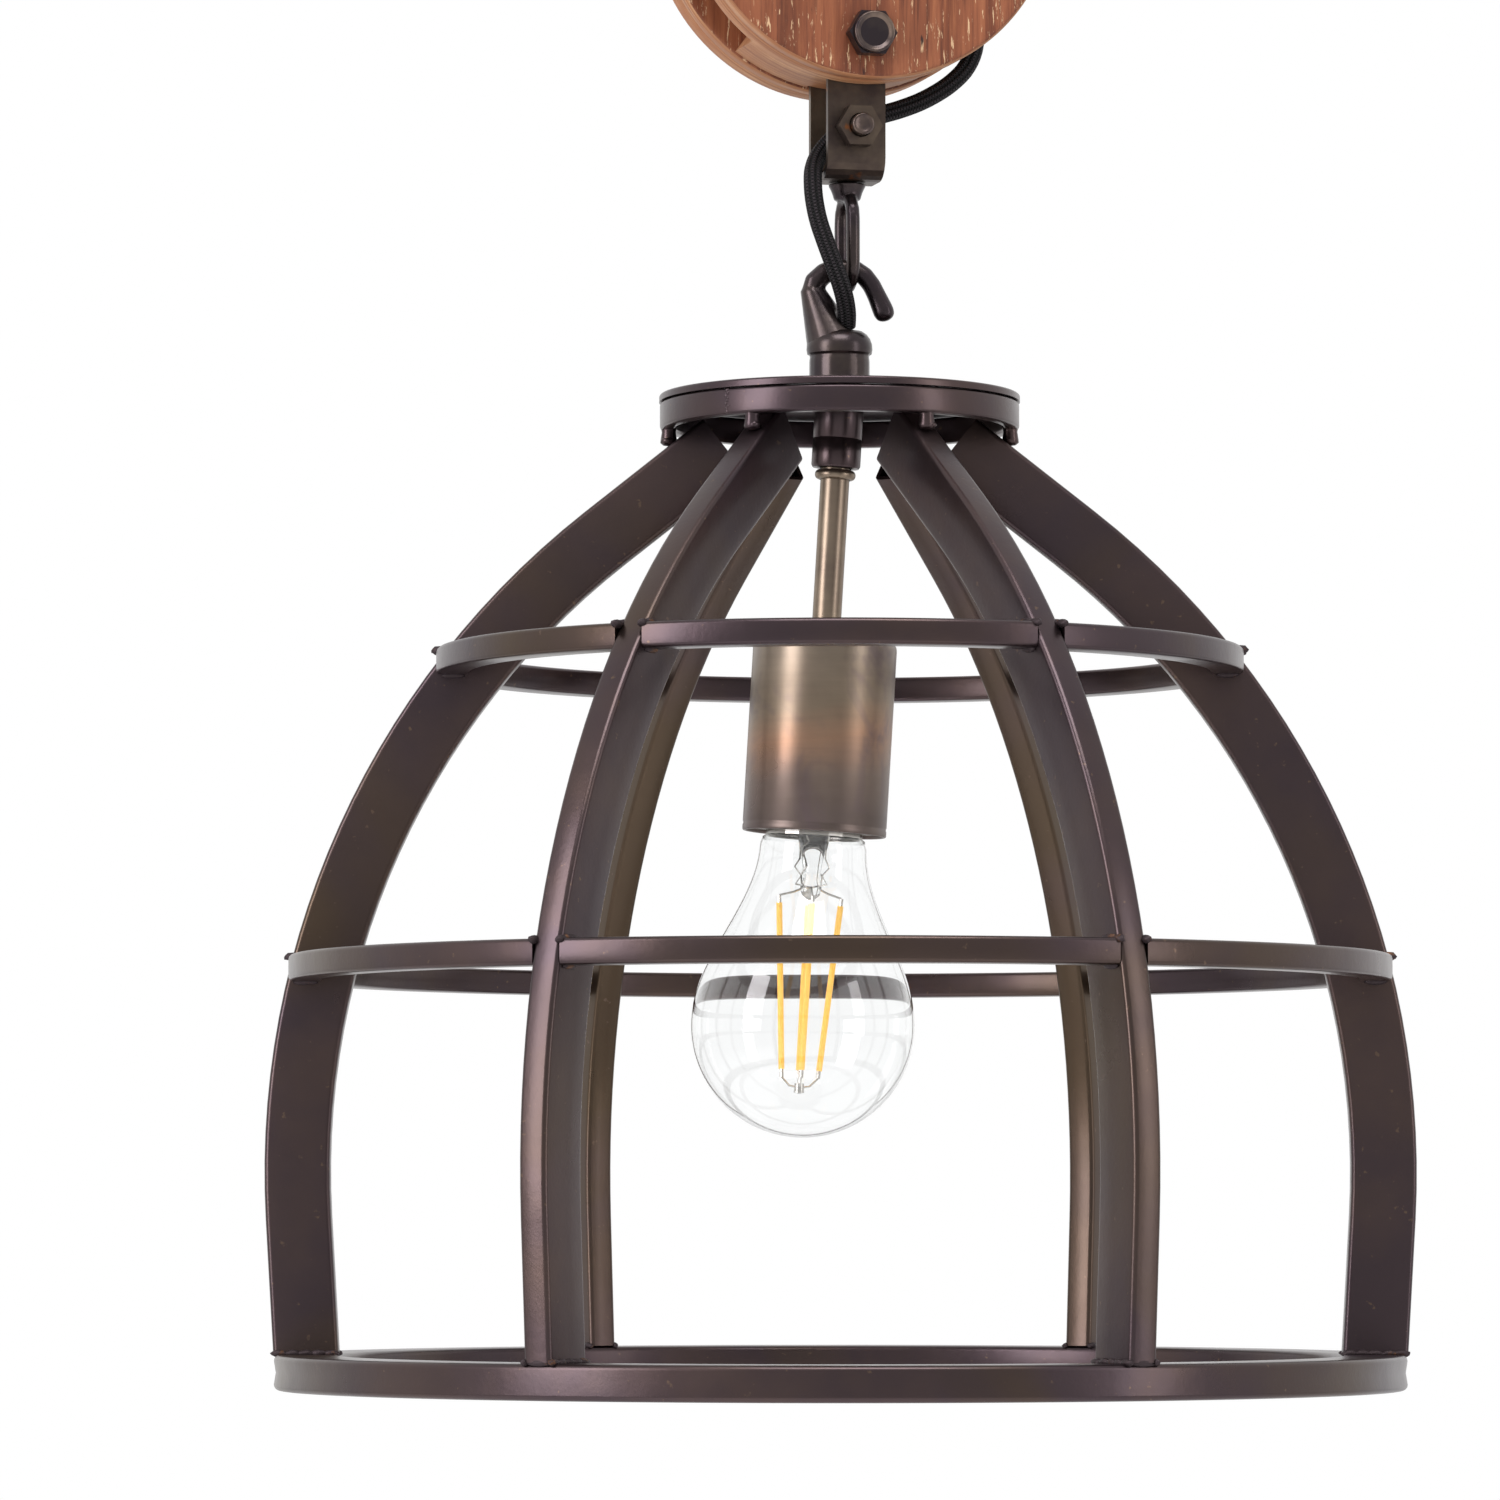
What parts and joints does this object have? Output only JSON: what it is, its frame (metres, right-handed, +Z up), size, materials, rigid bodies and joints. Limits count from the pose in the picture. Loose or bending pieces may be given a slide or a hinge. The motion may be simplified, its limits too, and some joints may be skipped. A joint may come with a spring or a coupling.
{
  "type": "cage pendant lamp on a pulley block",
  "caption": "Round steel cage pendant with a clear bulb, hung by a hook and an eye from a wooden pulley block under a ceiling rose, with a textile cord beside the sheave.",
  "frame": {"origin": "centre of the ceiling plane, on the mounting bracket's upper face", "axes": "+Z up, out of the ceiling face; -Y towards the viewer's front; the cord falls at +X"},
  "size_m": [0.3076, 0.302, 0.5683],
  "materials": {
    "blackened_steel": "satin black-brown with patina",
    "cast_iron_black": "dark cast",
    "strap_steel": "brown-black patina with rust spots",
    "zinc_steel": "zinc plated",
    "painted_wood": "distressed red-brown paint",
    "sheave_wood": "worn stain",
    "brass": "satin",
    "antique_brass": "antique, brushed",
    "black_textile": "braided",
    "white_plastic": "matte",
    "black_plastic": "matte",
    "porcelain": "glazed ceramic",
    "nickel": "satin nickel",
    "clear_glass": "clear",
    "filament_yellow": "phosphor coating"
  },
  "bodies": {
    "ceiling_fitting": {"canopy": "blackened_steel", "canopy_screw_1": "zinc_steel", "canopy_screw_2": "zinc_steel", "mounting_bracket": "zinc_steel", "terminal_block": "white_plastic", "cord_grip": "black_plastic", "cord_grip_nut": "black_plastic", "ceiling_lead": "black_textile", "ceiling_hook": "cast_iron_black", "ceiling_hook_nut": "zinc_steel", "ceiling_hook_collar": "cast_iron_black"},
    "pulley_block": {"upper_strap": "strap_steel", "upper_eye": "cast_iron_black", "upper_strap_bolt": "strap_steel", "upper_strap_nut": "strap_steel", "upper_filler": "painted_wood", "upper_cheek_bolt": "cast_iron_black", "upper_cheek_nut": "cast_iron_black", "lower_strap": "strap_steel", "lower_eye": "cast_iron_black", "lower_strap_bolt": "strap_steel", "lower_strap_nut": "strap_steel", "lower_filler": "painted_wood", "lower_cheek_bolt": "cast_iron_black", "lower_cheek_nut": "cast_iron_black", "front_cheek": "painted_wood", "back_cheek": "painted_wood", "axle_bolt": "cast_iron_black", "axle_nut": "cast_iron_black", "cord_upper": "black_textile", "cord_lower": "black_textile"},
    "sheave": {"sheave": "sheave_wood", "sheave_bush": "brass"},
    "lamp": {"top_plate": "blackened_steel", "top_ring": "blackened_steel", "rib_1": "blackened_steel", "rib_2": "blackened_steel", "rib_3": "blackened_steel", "rib_4": "blackened_steel", "rib_5": "blackened_steel", "rib_6": "blackened_steel", "upper_hoop": "blackened_steel", "lower_hoop": "blackened_steel", "bottom_ring": "blackened_steel", "lamp_hook": "cast_iron_black", "stem_collar": "blackened_steel", "stem_lock_ring": "antique_brass", "stem_tube": "antique_brass", "lampholder_wires": "white_plastic", "socket_cover": "antique_brass", "lampholder_body": "porcelain", "thread_shell": "brass", "centre_contact": "brass", "bulb_cap": "nickel", "bulb_glass": "clear_glass", "glass_mount": "clear_glass", "filaments": "filament_yellow"}
  },
  "joints": [
    {"name": "block_swing", "type": "hinge", "parent": "ceiling_fitting", "child": "pulley_block", "pos_m": [0, 0, -0.068], "axis": [0.9659, 0.2588, 0], "range_deg": [-15, 15], "deforming": ["cord_upper"]},
    {"name": "sheave_spin", "type": "hinge", "parent": "pulley_block", "child": "sheave", "pos_m": [0.00145, 0.00039, -0.16755], "axis": [0.2588, -0.9659, 0], "continuous": true},
    {"name": "lamp_swing", "type": "hinge", "parent": "pulley_block", "child": "lamp", "pos_m": [0, 0, -0.27215], "axis": [0.2588, -0.9659, 0], "range_deg": [-20, 20], "deforming": ["cord_lower"]}
  ]
}
